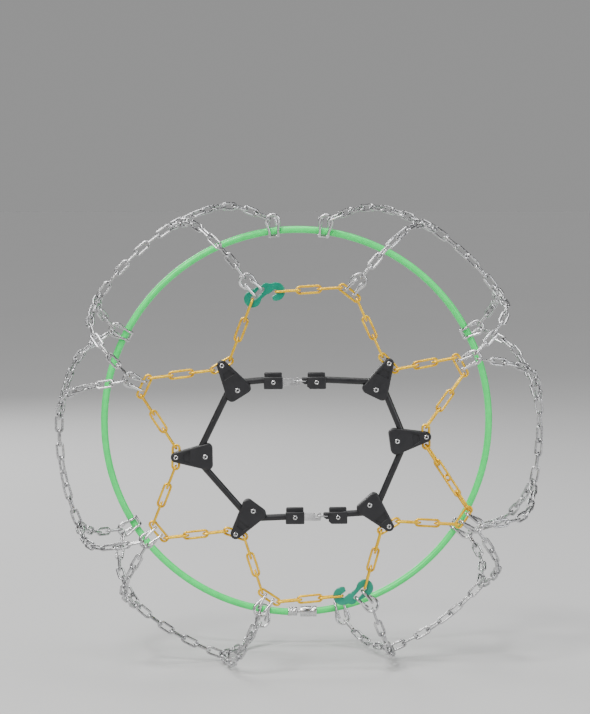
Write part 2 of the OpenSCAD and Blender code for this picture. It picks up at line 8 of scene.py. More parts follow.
import bmesh
import bpy
import numpy as np
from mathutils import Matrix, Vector
from mathutils.geometry import tessellate_polygon


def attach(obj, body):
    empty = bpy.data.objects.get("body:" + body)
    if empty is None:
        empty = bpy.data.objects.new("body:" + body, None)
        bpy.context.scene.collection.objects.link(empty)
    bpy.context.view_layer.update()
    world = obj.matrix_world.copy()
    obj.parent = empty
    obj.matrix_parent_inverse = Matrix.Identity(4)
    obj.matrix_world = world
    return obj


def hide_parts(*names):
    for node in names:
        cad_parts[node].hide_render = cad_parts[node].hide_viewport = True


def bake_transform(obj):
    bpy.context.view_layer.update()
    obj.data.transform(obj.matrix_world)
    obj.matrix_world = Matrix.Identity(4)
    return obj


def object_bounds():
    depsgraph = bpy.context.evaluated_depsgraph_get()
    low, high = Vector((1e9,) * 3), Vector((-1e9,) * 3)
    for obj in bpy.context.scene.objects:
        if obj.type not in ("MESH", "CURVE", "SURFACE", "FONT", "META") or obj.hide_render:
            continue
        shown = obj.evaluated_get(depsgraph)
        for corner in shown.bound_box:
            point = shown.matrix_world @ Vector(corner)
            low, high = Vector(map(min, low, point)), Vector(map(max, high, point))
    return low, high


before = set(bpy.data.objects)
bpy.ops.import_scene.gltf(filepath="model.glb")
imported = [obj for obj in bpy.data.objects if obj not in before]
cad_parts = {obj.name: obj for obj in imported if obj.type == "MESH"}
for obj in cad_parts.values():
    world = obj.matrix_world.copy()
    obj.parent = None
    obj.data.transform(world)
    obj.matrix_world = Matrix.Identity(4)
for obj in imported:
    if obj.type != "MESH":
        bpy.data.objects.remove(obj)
cad_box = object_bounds()
MM = 0.001

# ---- Sizes ----
TYRE_RADIUS = 317
CHAIN_LIFT = 6  # the links' middle above the tread
TREAD_HALF = 59  # half the width of the tread's flat part
# Links of the net and of the side chain: wire, outer width, inner length
TREAD = dict(wire=3.2, width=11.8, inner=19.3)
SIDE = dict(wire=3.1, width=11.8, inner=28.6)
SIDE_PLANE = 105  # the side chain's distance from the tyre's middle
# Double hooks: wire, bend of the bow, and the bow's distance from the bar
HOOK_WIRE, BOW_RADIUS, BOW_REACH = 4, 9, 24
# Inner cable: radius of the hoop, thickness, distance from the tyre's middle
HOOP_RADIUS, CABLE_D, HOOP_PLANE = 267, 9.5, 106
# Tensioner: band, distance between a housing's rivets, its nose, its thickness
BAND_D, HOUSING_LEN, TIP_R, HOUSING_T = 8.5, 38, 6.6, 13
BELT_R = 10  # bend of a band about the large rivet
# Closing hooks: from the middle to the two holes, thickness, width of the waist
PLATE_HALF, PLATE_T, WAIST_W = 15, 4, 5
HOLE_R = 2.7  # hole in a closing hook's ring
RIVET_R = 2.4
PLAY = 0.2  # between two wires that meet

# ---- Places: (x, z, direction) in the plane of the side chain ----
CORNER_LINKS = [
    (59, 190, -38), (203, 96, -61), (209, -103, -124),
    (-45, -207, 146), (-189, -119, 129), (-206, 70, 65),
]
CLOSING_HOOKS = [(-51.5, 187.5, 17), (65.5, -201, 199)]
# Tensioner corners: tip rivet x and z, housing direction, direction of the tip link
TIPS = dict(
    a=(-106, 97, 122, 31), b=(110, 99, 64, -46), c=(159, 3, 8, -88),
    d=(111, -114, -48, 211), e=(-89, -123, -127, 161), f=(-166, -22, 181, 88),
)
# Left end blocks, and the way from each to the right one
BLOCKS = [(-39.7, 75), (-11.6, -101.5)]
BLOCK_GAP = 56
# End of a band in its block: distance from the block's middle, and height in the upper
# blocks, in the lower left one and in the lower right one
ROD_X, RISE_UPPER, RISE_LOW_LEFT, RISE_LOW_RIGHT = 6.5, 3.2, 0.6, 3.6
# Places of the inner double hooks round the hoop
INNER_SEATS = [-7, 8, 62, 123, 167, -170, -121.5, -62.5]
# Cross chains: outer seat, place of the apex on the crown, inner seat
CROSS = [
    (6, -32, 0), (5, -56, 7), (5, -86, 7), (4, -113, 6), (4, -137, 6), (3, -161, 5),
    (0, 33.3, 1), (1, 54, 2), (1, 82.3, 2), (2, 103, 3), (2, 130.5, 3), (7, 157.9, 4),
]
CENTRE_PAIRS = [(0, 1), (2, 3), (4, 5), (6, 7), (8, 9), (10, 11)]
CROWN = TYRE_RADIUS + CHAIN_LIFT


# ---- Vectors ----
def vec(*v):
    return np.array(v, float)


def unit(v):
    return v / np.linalg.norm(v)


def sind(a):
    return math.sin(math.radians(a))


def cosd(a):
    return math.cos(math.radians(a))


def flat(a):
    """Direction at this angle in the plane of the side chain."""
    return vec(cosd(a), 0, sind(a))


def outward(a):
    """Direction a quarter turn further on."""
    return vec(-sind(a), 0, cosd(a))


def at(x, z):
    """Point in the plane of the side chain."""
    return vec(x, -SIDE_PLANE, z)


def clock(v):
    """Angle about the wheel's axle, from the top."""
    return math.degrees(math.atan2(v[0], v[2]))


def axes(x, y, z, origin):
    """A place: turns local points, one in each row, into points of the whole object."""
    m = np.array([x, y, z])
    return lambda p: np.asarray(p, float) @ m + origin


# ---- Surface that the tread chain lies on: three arcs across the tyre ----
CROWN_ARC, SHOULDER_ARC, WALL_ARC, WALL_TURN = 350, 50, 100, 62
CROWN_TURN = math.degrees(math.asin(TREAD_HALF / CROWN_ARC))
CROWN_LEN = CROWN_ARC * math.radians(CROWN_TURN)
SHOULDER_LEN = SHOULDER_ARC * math.radians(WALL_TURN - CROWN_TURN)


def across(a, r):
    return r * vec(sind(a), cosd(a))


CROWN_CENTRE = vec(0, CROWN - CROWN_ARC)
SHOULDER_CENTRE = CROWN_CENTRE + across(CROWN_TURN, CROWN_ARC - SHOULDER_ARC)
WALL_CENTRE = SHOULDER_CENTRE + across(WALL_TURN, SHOULDER_ARC - WALL_ARC)


def section(s):
    """Point at distance s across the tread, and the surface's slope there."""
    if s < CROWN_LEN:
        t = math.degrees(s / CROWN_ARC)
        return CROWN_CENTRE + across(t, CROWN_ARC), t
    if s < CROWN_LEN + SHOULDER_LEN:
        t = CROWN_TURN + math.degrees((s - CROWN_LEN) / SHOULDER_ARC)
        return SHOULDER_CENTRE + across(t, SHOULDER_ARC), t
    t = WALL_TURN + math.degrees((s - CROWN_LEN - SHOULDER_LEN) / WALL_ARC)
    return WALL_CENTRE + across(t, WALL_ARC), t


def reach_of(r):
    """Distance across the tread of the side wall's point at radius r."""
    turn = math.acos((r - WALL_CENTRE[1]) / WALL_ARC) - math.radians(WALL_TURN)
    return CROWN_LEN + SHOULDER_LEN + WALL_ARC * turn


def on_tyre(a, s, side):
    """Point at angle a round the tyre and distance s to the outer (-1) or inner (1) side."""
    p, _ = section(s)
    return vec(p[1] * sind(a), side * p[0], p[1] * cosd(a))


def tyre_normal(a, s, side):
    _, t = section(s)
    return vec(cosd(t) * sind(a), side * sind(t), cosd(t) * cosd(a))


# ---- Links ----
def link_frame(p, q, normal, roll):
    """Place of a link between two meeting points, its plane turned by roll."""
    t = unit(q - p)
    n = unit(normal - normal.dot(t) * t)
    w = cosd(roll) * np.cross(t, n) + sind(roll) * n
    return axes(t, w, np.cross(t, w), (p + q) / 2)


SIDE_BORE = SIDE["width"] / 2 - SIDE["wire"]
TREAD_BORE = TREAD["width"] / 2 - TREAD["wire"]
SLACK = 0.15  # left in each link of the net
TREAD_PITCH = TREAD["inner"] - 2 * PLAY - SLACK
HALF_APEX = TREAD_PITCH / 2
FRONT, BACK = vec(0, -1, 0), vec(0, 1, 0)


def link_end(x, z, angle, side):
    """Middle of the round end of a flat link."""
    return at(x, z) + side * (SIDE["inner"] / 2 - SIDE_BORE) * flat(angle)


def flat_link(x, z, angle):
    return link_frame(at(x, z) - flat(angle), at(x, z) + flat(angle), FRONT, 0)


def corner_end(k, side):
    return link_end(*CORNER_LINKS[k], side)


def plate_end(k, side):
    x, z, angle = CLOSING_HOOKS[k]
    return at(x, z) + side * PLATE_HALF * flat(angle)


def run(a, ra, b, rb, count=3):
    """A straight run of links from one round end to another."""
    d = unit(b - a)
    p, q = a + d * (ra - PLAY), b - d * (rb - PLAY)
    step = (q - p) / count
    return [
        link_frame(p + step * i, p + step * (i + 1), FRONT, 360 / (count + 1) * (i + 1))
        for i in range(count)
    ]


# ---- Seats of the double hooks: bar centre, along it, to the bow, to the tyre, curl ----
LINK_CURL = SIDE["wire"] / 2 + 0.5 + HOOK_WIRE / 2
WAIST_CURL = math.hypot(PLATE_T, WAIST_W) / 2 + 0.3 + HOOK_WIRE / 2
CABLE_CURL = CABLE_D / 2 + 0.4 + HOOK_WIRE / 2
# Waist of the closing hooks, which carries a double hook
WAIST_AT, WAIST_TURN = (-8, 9.8), 29


def leaning(bar, along, up, inn, curl):
    """The hook leans about its bar until its bow lies on the side wall."""
    top = bar + up * BOW_REACH
    wall = section(reach_of(math.hypot(top[0], top[2])))[0][0]
    t = math.asin((abs(bar[1]) - curl - wall) / BOW_REACH)
    return (
        bar, along, math.cos(t) * up + math.sin(t) * inn,
        math.cos(t) * inn - math.sin(t) * up, curl,
    )


def outer_seat(k):
    """Seats 0 to 5 are on the corner links, 6 and 7 on the closing hooks."""
    if k < len(CORNER_LINKS):
        x, z, a = CORNER_LINKS[k]
        rise = (SIDE["width"] - SIDE["wire"]) / 2
        return leaning(at(x, z) + outward(a) * rise, flat(a), outward(a), BACK, LINK_CURL)
    x, z, a = CLOSING_HOOKS[k - len(CORNER_LINKS)]
    bar = at(x, z) + WAIST_AT[0] * flat(a) + WAIST_AT[1] * outward(a)
    a += WAIST_TURN
    return leaning(bar, flat(a), outward(a), BACK, WAIST_CURL)


def inner_seat(k):
    a = INNER_SEATS[k]
    radial = vec(sind(a), 0, cosd(a))
    bar = HOOP_RADIUS * radial + vec(0, HOOP_PLANE, 0)
    return leaning(bar, vec(cosd(a), 0, -sind(a)), radial, FRONT, CABLE_CURL)


def seat_place(seat):
    """Place of a hook: along the bar, towards the tyre, towards the bow."""
    return axes(seat[1], seat[3], seat[2], seat[0])


MEET_GAP = HOOK_WIRE / 2 + PLAY
MIN_SPREAD = 34  # half the angle between two strands on one bow


def bow_point(seat, psi):
    """Middle of the bow's wire at angle psi from the bow's top."""
    z = BOW_REACH - BOW_RADIUS + BOW_RADIUS * cosd(psi)
    return seat_place(seat)([BOW_RADIUS * sind(psi), seat[4], z])


def bow_meet(seat, psi):
    """Where the last link of a strand meets the bow."""
    return bow_point(seat, psi) - seat[2] * MEET_GAP


def unwrap(angle, near):
    """The same angle, within half a turn of another one."""
    return angle + 360 * round((near - angle) / 360)


def seat_at(k, end):
    """Seat of cross chain k's outer end (0) or inner one (1)."""
    return outer_seat(CROSS[k][0]) if end == 0 else inner_seat(CROSS[k][2])


def pull(apex, seat):
    """Angle at which a chain from this apex pulls on the seat's bow."""
    top = bow_meet(seat, 0)
    r = math.hypot(top[0], top[2])
    turn = math.radians(apex - unwrap(clock(top), apex))
    return math.degrees(math.atan(r * turn / (reach_of(r) - HALF_APEX)))


def skew(seat):
    """How far the hook points away from the wheel's radius."""
    top = clock(bow_meet(seat, 0))
    return unwrap(clock(seat[2]), top) - top


def bow_angle(k, end):
    """Where on its bow the strand sits: two strands keep clear of each other."""
    seat, col = seat_at(k, end), 2 * end
    own = pull(CROSS[k][1], seat)
    mates = [m for m in range(len(CROSS)) if m != k and CROSS[m][col] == CROSS[k][col]]
    if not mates:
        return own - skew(seat)
    other = pull(CROSS[mates[0]][1], seat)
    half = (own - other) / 2
    return (own + other) / 2 + math.copysign(max(abs(half), MIN_SPREAD), half)


def strand(k, end):
    """Links of cross chain k from its apex link to the outer hook (0) or the inner one."""
    side, apex, seat = (-1, 1)[end], CROSS[k][1], seat_at(k, end)
    psi = bow_angle(k, end)
    bow, meet = bow_point(seat, psi), bow_meet(seat, psi)
    angle = unwrap(clock(meet), apex)
    reach = reach_of(math.hypot(meet[0], meet[2]))
    tilt = math.degrees(math.atan(CROWN * math.radians(angle - apex) / (reach - HALF_APEX)))
    first_s = TREAD["inner"] / 2 - TREAD_BORE + (TREAD_BORE - PLAY) * cosd(tilt)
    first_a = apex + math.degrees((TREAD_BORE - PLAY) * sind(tilt) / CROWN)
    length = math.hypot(reach - first_s, CROWN * math.radians(angle - first_a))
    n = math.ceil(length / TREAD_PITCH)
    out = []
    for i in range(n):
        s0, s1 = (first_s + (reach - first_s) * j / n for j in (i, i + 1))
        a0, a1 = (first_a + (angle - first_a) * j / n for j in (i, i + 1))
        p = on_tyre(a0, s0, side)
        q = bow + MEET_GAP * unit(bow - p) if i == n - 1 else on_tyre(a1, s1, side)
        twist = 90 * (i + 1) / n if n % 2 == 0 else 45 * sind(180 * (i + 1) / n)
        normal = tyre_normal((a0 + a1) / 2, (s0 + s1) / 2, side)
        out.append(link_frame(p, q, normal, 90 * (i + 1) + twist))
    return out


def cross_chain(k):
    a = CROSS[k][1]
    apex = link_frame(
        on_tyre(a, HALF_APEX, -1), on_tyre(a, HALF_APEX, 1), tyre_normal(a, 0, 1), 0
    )
    return [apex] + strand(k, 0) + strand(k, 1)


def centre_chain(pair):
    """Links along the middle of the tread, between the apex links of two cross chains."""
    start, stop = CROSS[pair[0]][1], CROSS[pair[1]][1]
    grip = math.copysign(math.degrees((TREAD_BORE - PLAY) / CROWN), stop - start)
    first, last = start + grip, stop - grip
    n = math.ceil(math.radians(abs(last - first)) * CROWN / TREAD_PITCH)
    out = []
    for i in range(n):
        a0, a1 = (first + (last - first) * j / n for j in (i, i + 1))
        twist = 0 if n % 2 else 90 * i / (n - 1)
        normal = tyre_normal((a0 + a1) / 2, 0, 1)
        roll = 90 * (i + 1) + twist
        out.append(link_frame(on_tyre(a0, 0, 1), on_tyre(a1, 0, 1), normal, roll))
    return out


# ---- Mesh making ----
def shade(mesh, sharp=180):
    """Smooth shading, with a hard edge where two faces meet at more than this angle."""
    mesh.shade_smooth()
    if sharp < 180:
        mesh.set_sharp_from_angle(angle=math.radians(sharp))


class Piece:
    """Vertices in millimetres and faces, gathered into one object."""

    def __init__(self):
        self.verts, self.faces, self.count = [], [], 0

    def add(self, verts, faces, place=None):
        verts = np.asarray(verts, float)
        self.verts.append(place(verts) if place else verts)
        self.faces += [tuple(i + self.count for i in f) for f in faces]
        self.count += len(verts)
        return self

    def obj(self, name, sharp=180):
        mesh = bpy.data.meshes.new(name)
        mesh.from_pydata((np.vstack(self.verts) * MM).tolist(), [], self.faces)
        mesh.validate()
        shade(mesh, sharp)
        o = bpy.data.objects.new(name, mesh)
        bpy.context.scene.collection.objects.link(o)
        return o


def arc(centre, r, a0, a1, n, u=(1, 0, 0), v=(0, 0, 1)):
    u, v = np.array(u, float), np.array(v, float)
    a = np.radians(np.linspace(a0, a1, n))[:, None]
    return np.asarray(centre, float) + r * (np.cos(a) * u + np.sin(a) * v)


def rings_to_faces(rings, sides, closed=False):
    faces = []
    for i in range(rings if closed else rings - 1):
        j = (i + 1) % rings
        for k in range(sides):
            m = (k + 1) % sides
            faces.append((i * sides + k, i * sides + m, j * sides + m, j * sides + k))
    return faces


def end_caps(rings, sides):
    last = (rings - 1) * sides
    return [tuple(range(sides))[::-1], tuple(range(last, last + sides))]


def rounded_end(point, away, radius):
    """Centres and radii of the rings that round off a bar's end, the smallest first."""
    caps = np.radians([75, 50, 25])
    return point + 0.6 * radius * np.outer(np.sin(caps), away), radius * np.cos(caps)


NOT_ALONG = (0.3, 0.9, 0.2)  # no bar without an up direction lies this way


def tube(path, radius, closed=False, sides=12, up=None):
    """A round bar along a path, with a row of vertices in the direction up. Open ends are
    rounded off."""
    path = np.asarray(path, float)
    radius = np.broadcast_to(np.asarray(radius, float), len(path)).copy()
    if closed:
        tangent = np.roll(path, -1, 0) - np.roll(path, 1, 0)
    else:
        tangent = np.gradient(path, axis=0)
    tangent /= np.linalg.norm(tangent, axis=1)[:, None]
    if not closed:
        head, head_r = rounded_end(path[0], -tangent[0], radius[0])
        tail, tail_r = rounded_end(path[-1], tangent[-1], radius[-1])
        path = np.vstack([head, path, tail[::-1]])
        radius = np.concatenate([head_r, radius, tail_r[::-1]])
        tangent = np.vstack([[tangent[0]] * 3, tangent, [tangent[-1]] * 3])
    n = np.cross(tangent[0], NOT_ALONG) if up is None else np.array(up, float)
    turn = np.radians(np.arange(sides) * 360 / sides)
    rings = []
    for p, t, r in zip(path, tangent, radius):
        n = unit(n - n.dot(t) * t)
        b = np.cross(t, n)
        rings.append(p + r * (np.outer(np.cos(turn), n) + np.outer(np.sin(turn), b)))
    faces = rings_to_faces(len(rings), sides, closed)
    if not closed:
        faces += end_caps(len(rings), sides)
    return np.vstack(rings), faces


def lathe(profile, sides=32):
    """Turns (radius, height) points about the Y axis. Zero radii close the ends."""
    turn = np.radians(np.arange(sides) * 360 / sides)
    rings = [np.c_[r * np.cos(turn), np.full(sides, h), r * np.sin(turn)] for r, h in profile]
    faces = rings_to_faces(len(rings), sides) + end_caps(len(rings), sides)
    return np.vstack(rings), faces


def link_mesh(wire, width, inner):
    """A welded link: the wire is a little thicker at the weld in one of its legs."""
    n, bend = 7, 15
    r, straight = (width - wire) / 2, inner / 2 - (width / 2 - wire)
    leg = np.linspace(-straight, straight, n + 2)[1:-1]
    right = arc((straight, 0, 0), r, -90, 90, bend, (1, 0, 0), (0, 1, 0))
    left = arc((-straight, 0, 0), r, 90, 270, bend, (1, 0, 0), (0, 1, 0))
    low = np.c_[leg, np.full(n, -r), np.zeros(n)]
    top = np.c_[leg[::-1], np.full(n, r), np.zeros(n)]
    path = np.vstack([low, right, top, left])
    size = np.full(len(path), wire / 2)
    size[n + bend:n + bend + n] *= 1 + 0.09 * np.exp(-((leg / 1.1) ** 2))
    return tube(path, size, closed=True, sides=12, up=(0, 0, 1))


TREAD_MESH = link_mesh(**TREAD)
SIDE_MESH = link_mesh(**SIDE)


def chain_piece(name, places, mesh):
    piece = Piece()
    for place in places:
        piece.add(*mesh, place)
    return piece.obj(name)


def finished(o, material, body, slot, *nodes):
    """Gives a piece its material and its body, and hides the CAD nodes that it stands for. The
    slot is not used.
    """
    o.data.materials.clear()
    o.data.materials.append(material)
    if body:
        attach(o, body)
    if nodes:
        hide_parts(*nodes)


def boolean(o, other, operation="DIFFERENCE"):
    """Cuts another object away from o, or adds it, and deletes it."""
    m = o.modifiers.new("cut", "BOOLEAN")
    m.operation, m.object, m.solver = operation, other, "EXACT"
    apply_modifiers(o)
    bpy.data.objects.remove(other)


def apply_modifiers(o):
    dg = bpy.context.evaluated_depsgraph_get()
    mesh = bpy.data.meshes.new_from_object(o.evaluated_get(dg))
    o.modifiers.clear()
    o.data = mesh
    return o


def fix_normals(o):
    bm = bmesh.new()
    bm.from_mesh(o.data)
    bmesh.ops.recalc_face_normals(bm, faces=bm.faces)
    bm.to_mesh(o.data)
    bm.free()
    return o


def rounded_box(name, lo, hi, r):
    corners = [[(lo, hi)[b][i] for i, b in enumerate(c)] for c in np.ndindex(2, 2, 2)]
    faces = [(0, 1, 3, 2), (4, 6, 7, 5), (0, 4, 5, 1), (2, 3, 7, 6), (0, 2, 6, 4), (1, 5, 7, 3)]
    o = Piece().add(corners, faces).obj(name)
    m = o.modifiers.new("round", "BEVEL")
    m.width, m.segments, m.limit_method = r * MM, 3, "NONE"
    return fix_normals(apply_modifiers(o))


def points_of(o):
    return np.array([v.co for v in o.data.vertices]) / MM


def merged(objects):
    """Joins objects into one, which takes the first one's name."""
    name, piece = objects[0].name, Piece()
    for o in objects:
        piece.add(points_of(o), [tuple(p.vertices) for p in o.data.polygons])
        bpy.data.objects.remove(o)
    return piece.obj(name, 35)


def placed(o, place):
    """Moves an object's vertices from local millimetres to their place."""
    o.data.vertices.foreach_set("co", (place(points_of(o)) * MM).ravel())
    o.data.update()
    return o


# ---- Flat plates from a distance function, with rounded edges ----
GRID_STEP, SMOOTHINGS = 0.3, 3


def circle(p, centre, r):
    """Signed distance to a circle."""
    return np.linalg.norm(p - centre, axis=-1) - r


def capsule(p, a, b, r):
    """Signed distance to a bar with round ends."""
    a, b = np.array(a, float), np.array(b, float)
    d = b - a
    h = np.clip(((p - a) @ d) / (d @ d), 0, 1)
    return np.linalg.norm(p - a - h[..., None] * d, axis=-1) - r


def polygon(p, corners):
    """Signed distance to a closed outline."""
    near, inside = np.full(p.shape[:-1], 1e9), np.zeros(p.shape[:-1], bool)
    for a, b in zip(corners, corners[1:] + corners[:1]):
        near = np.minimum(near, capsule(p, a, b, 0))
        if a[1] != b[1]:
            crossing = (a[1] > p[..., 1]) != (b[1] > p[..., 1])
            x = a[0] + (p[..., 1] - a[1]) * (b[0] - a[0]) / (b[1] - a[1])
            inside ^= crossing & (p[..., 0] < x)
    return np.where(inside, -near, near)


def join(a, b, k):
    """The union of two distances, with a fillet of about k."""
    h = np.maximum(k - np.abs(a - b), 0) / k
    return np.minimum(a, b) - h * h * k / 4


def outlines(distance, lo, hi):
    """Closed loops where the distance is zero, by marching squares, then smoothed."""
    xs, ys = (np.arange(lo[i], hi[i], GRID_STEP) for i in (0, 1))
    grid = np.stack(np.meshgrid(xs, ys, indexing="ij"), -1)
    d = distance(grid)
    cell = [d[:-1, :-1], d[1:, :-1], d[:-1, 1:], d[1:, 1:]]
    crossed = (np.minimum.reduce(cell) < 0) & (np.maximum.reduce(cell) >= 0)
    points, link = {}, {}
    for i, j in zip(*np.nonzero(crossed)):
        ring = [(i, j), (i + 1, j), (i + 1, j + 1), (i, j + 1)]
        outs, enters = [], []
        for a, b in zip(ring, ring[1:] + ring[:1]):
            if (d[a] < 0) != (d[b] < 0):
                key = (min(a, b), max(a, b))
                points[key] = grid[a] + (grid[b] - grid[a]) * (d[a] / (d[a] - d[b]))
                (outs if d[a] < 0 else enters).append(key)
        link.update(zip(outs, enters))
    loops = []
    while link:
        key, loop = next(iter(link)), []
        while key in link:
            loop.append(points[key])
            key = link.pop(key)
        loop = np.array(loop)
        for _ in range(SMOOTHINGS):
            loop = (np.roll(loop, 1, 0) + 2 * loop + np.roll(loop, -1, 0)) / 4
        loops.append(loop[::2])
    return loops


def plate(name, distance, lo, hi, thick, edge=0.5):
    """A plate in the XZ plane: its outline comes from a distance function of (x, z), looked
    at from lo to hi, and its edges are rounded."""
    angles = np.radians([90, 60, 30, 0])
    profile = [(edge * (1 - math.cos(a)), -thick / 2 + edge * (1 - math.sin(a))) for a in angles]
    profile += [(e, -y) for e, y in reversed(profile)]
    piece, caps = Piece(), ([], [])
    for loop in outlines(distance, lo, hi):
        t = np.roll(loop, -1, 0) - np.roll(loop, 1, 0)
        t /= np.linalg.norm(t, axis=1)[:, None]
        n = np.c_[t[:, 1], -t[:, 0]]
        if np.mean(distance((loop + n * 0.4)[None])) < 0:
            n = -n
        rings = []
        for e, y in profile:
            p = loop - n * e
            rings.append(np.c_[p[:, 0], np.full(len(p), y), p[:, 1]])
        base = piece.count
        piece.add(np.vstack(rings), rings_to_faces(len(rings), len(loop)))
        caps[0].append((base, rings[0]))
        caps[1].append((base + (len(rings) - 1) * len(loop), rings[-1]))
    for cap in caps:
        index = np.concatenate([b + np.arange(len(r)) for b, r in cap])
        drawn = [[Vector((p[0], p[2], 0)) for p in r] for _, r in cap]
        piece.faces += [tuple(int(index[i]) for i in t) for t in tessellate_polygon(drawn)]
    return fix_normals(piece.obj(name, 40))


# ---- Materials ----
def grey(level, blue):
    """A dark, slightly blue grey, from levels of 255 as a screen shows them."""
    r, b = (((c / 255 + 0.055) / 1.055) ** 2.4 for c in (level, blue))
    return r, r, b, 1


BUMP_DEPTH = 0.0002


class Nodes:
    """A short way to write a node tree."""

    def __init__(self, name):
        self.mat = bpy.data.materials.new(name)
        self.mat.use_nodes = True
        self.tree = self.mat.node_tree
        self.shader = self.tree.nodes["Principled BSDF"]
        self.coords = self.tree.nodes.new("ShaderNodeTexCoord").outputs["Object"]

    def node(self, kind, inputs=(), **props):
        n = self.tree.nodes.new("ShaderNode" + kind)
        for k, v in props.items():
            setattr(n, k, v)
        for k, v in dict(inputs).items():
            self.put(n.inputs[k], v)
        return n

    def put(self, socket, value):
        if isinstance(value, bpy.types.NodeSocket):
            self.tree.links.new(value, socket)
        else:
            socket.default_value = value

    def noise(self, scale, detail=3, rough=0.55):
        return self.node("TexNoise", {
            "Scale": scale, "Detail": detail, "Roughness": rough, "Vector": self.coords,
        }).outputs["Fac"]

    def remap(self, value, lo, hi, to_lo, to_hi):
        return self.node("MapRange", {
            "Value": value, "From Min": lo, "From Max": hi, "To Min": to_lo, "To Max": to_hi,
        }).outputs["Result"]

    def mix(self, fac, a, b):
        """Mixes two colours: the factor is input 0, the colours are 6 and 7, the result 2."""
        n = self.node("Mix", data_type="RGBA")
        for socket, v in ((n.inputs[0], fac), (n.inputs[6], a), (n.inputs[7], b)):
            self.put(socket, v)
        return n.outputs[2]

    def bump(self, height, strength):
        n = self.node("Bump", {"Height": height, "Strength": strength, "Distance": BUMP_DEPTH})
        self.put(self.shader.inputs["Normal"], n.outputs["Normal"])

    def set(self, **values):
        for k, v in values.items():
            self.put(self.shader.inputs[k.replace("_", " ")], v)
        return self.mat


def metal(name, light, dark, rough, blotch=55, spots=None):
    """Bare or zinc-plated steel: light and dark clouds, dull spots and a fine grain."""
    m = Nodes(name)
    cloud = m.remap(m.noise(blotch, 4), 0.35, 0.65, 0, 1)
    colour = m.mix(cloud, light, dark)
    if spots:
        fine = m.remap(m.noise(330, 5, 0.6), 0.56, 0.66, 0, 0.75)
        colour = m.mix(fine, colour, spots)
    m.bump(m.noise(900), 0.25)
    rough_map = m.remap(m.noise(210, 4), 0.3, 0.7, rough - 0.08, rough + 0.14)
    return m.set(Base_Color=colour, Metallic=1.0, Roughness=rough_map)


def coat(name, colour, dark, rough, metallic=0.0, chips=None, grain=700, bump=0.15, gloss=0.0):
    """Paint, plating or plastic, chipped along its edges where chips gives a colour."""
    m = Nodes(name)
    cloud = m.remap(m.noise(70, 4), 0.35, 0.7, 0, 1)
    base = m.mix(cloud, colour, dark)
    if chips:
        edge = m.node("NewGeometry").outputs["Pointiness"]
        worn = m.remap(edge, 0.52, 0.6, 0, 1)
        speck = m.remap(m.noise(420, 5, 0.65), 0.6, 0.66, 0, 1)
        both = m.node("Math", operation="MULTIPLY", inputs={0: worn, 1: speck}).outputs[0]
        base = m.mix(both, base, chips)
    m.bump(m.noise(grain, 4), bump)
    rough_map = m.remap(m.noise(160, 3), 0.3, 0.7, rough - 0.06, rough + 0.1)
    return m.set(Base_Color=base, Metallic=metallic, Roughness=rough_map, Coat_Weight=gloss)


ZINC = metal(
    "zinc_chain", (0.72, 0.72, 0.73, 1), (0.4, 0.4, 0.41, 1), 0.24, spots=(0.2, 0.2, 0.21, 1)
)
BRIGHT = metal("zinc_hook", (0.82, 0.82, 0.83, 1), (0.5, 0.5, 0.51, 1), 0.2)
STEEL = metal("plain_steel", (0.78, 0.78, 0.78, 1), (0.58, 0.58, 0.59, 1), 0.24, blotch=120)
YELLOW = coat(
    "yellow_zinc", (0.98, 0.62, 0.01, 1), (0.74, 0.4, 0.004, 1), 0.3, 0.55,
    chips=(0.3, 0.22, 0.12, 1), gloss=0.2,
)
GREEN = coat(
    "green_coat", (0.002, 0.95, 0.17, 1), (0.001, 0.82, 0.14, 1), 0.34,
    grain=260, bump=0.08, gloss=0.1,
)
TEAL = coat(
    "teal_paint", (0.004, 0.3, 0.19, 1), (0.002, 0.22, 0.13, 1), 0.34, 0.2,
    chips=(0.35, 0.4, 0.4, 1), gloss=0.3,
)
PLASTIC = coat("black_plastic", grey(30, 33), grey(22, 25), 0.42, grain=1500, bump=0.3)
RUBBER = coat("black_rubber", grey(28, 31), grey(22, 25), 0.36, grain=500, bump=0.1)


# ---- Tread net ----
NETS = {
    "diamond_left_upper": (1, 2), "diamond_left_lower": (3, 4),
    "diamond_right_upper": (7, 8), "diamond_right_lower": (9, 10),
    "end_chains_left": (0, 5), "end_chains_right": (6, 11),
}
for name, members in NETS.items():
    places = [p for k in members for p in cross_chain(k)]
    finished(chain_piece(name + "_links", places, TREAD_MESH), ZINC, "chain", "zinc_chain", name)
places = [p for pair in CENTRE_PAIRS for p in centre_chain(pair)]
finished(
    chain_piece("tread_centre_links", places, TREAD_MESH), ZINC, "chain", "zinc_chain",
    "tread_centre_chains",
)

# ---- Side chain ----
finished(
    chain_piece("corner_links_wire", [flat_link(*c) for c in CORNER_LINKS], SIDE_MESH),
    YELLOW, "chain", "yellow_paint", "corner_links",
)
places = run(plate_end(0, 1), SIDE_BORE, corner_end(0, -1), SIDE_BORE)
places += run(plate_end(1, 1), SIDE_BORE, corner_end(3, -1), SIDE_BORE)
finished(
    chain_piece("closing_chain_links", places, SIDE_MESH),
    YELLOW, "chain", "yellow_paint", "closing_chains",
)
